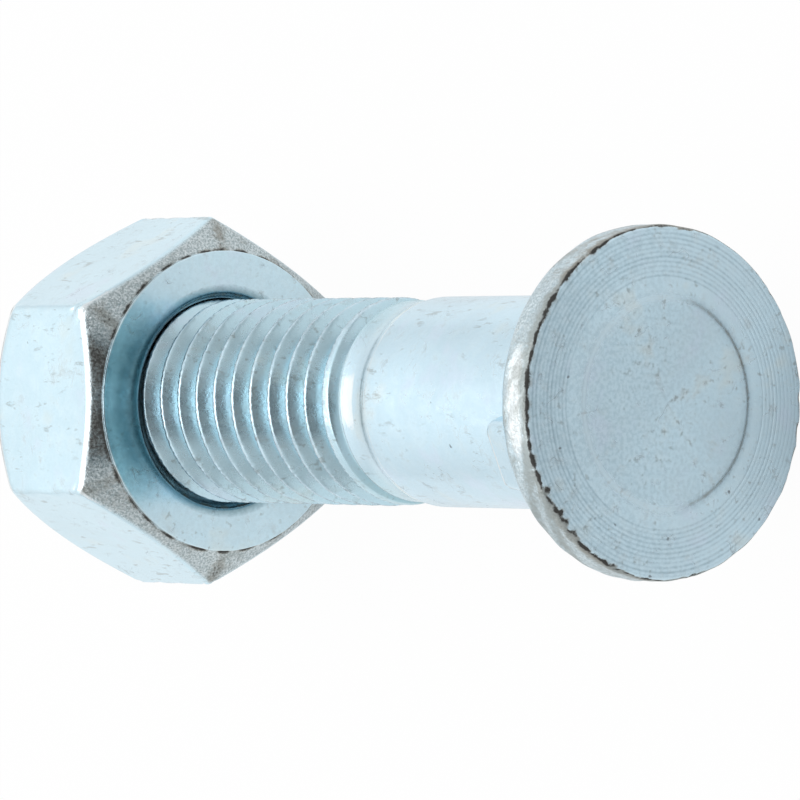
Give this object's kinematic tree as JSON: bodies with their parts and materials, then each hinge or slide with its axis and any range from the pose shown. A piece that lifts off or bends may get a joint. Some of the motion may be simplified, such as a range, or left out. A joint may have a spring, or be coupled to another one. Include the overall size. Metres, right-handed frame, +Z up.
{
  "type": "plow bolt",
  "caption": "Flat countersunk plow bolt with nibs under its head, a plain shank and a rolled thread, with its hexagon nut screwed on.",
  "frame": {"origin": "centre of the raised disc on the head face, on the bolt's axis", "axes": "+X along the bolt's axis, out of the head face; +Z up with the bolt lying on its side and a flat of the nut facing down"},
  "size_m": [0.0517, 0.022, 0.0198],
  "materials": {
    "bolt_zinc": "blue-white zinc plate, satin, with small scuffs and pits",
    "nut_zinc": "blue-white zinc plate, satin, with grime on the chamfers"
  },
  "bodies": {
    "bolt": {"plow_bolt": "bolt_zinc"},
    "nut": {"hex_nut": "nut_zinc"}
  },
  "joints": [
    {"name": "nut_travel", "type": "slide", "parent": "bolt", "child": "nut", "axis": [1, 0, 0], "range_m": [-0.01225, 0.0175]}
  ]
}
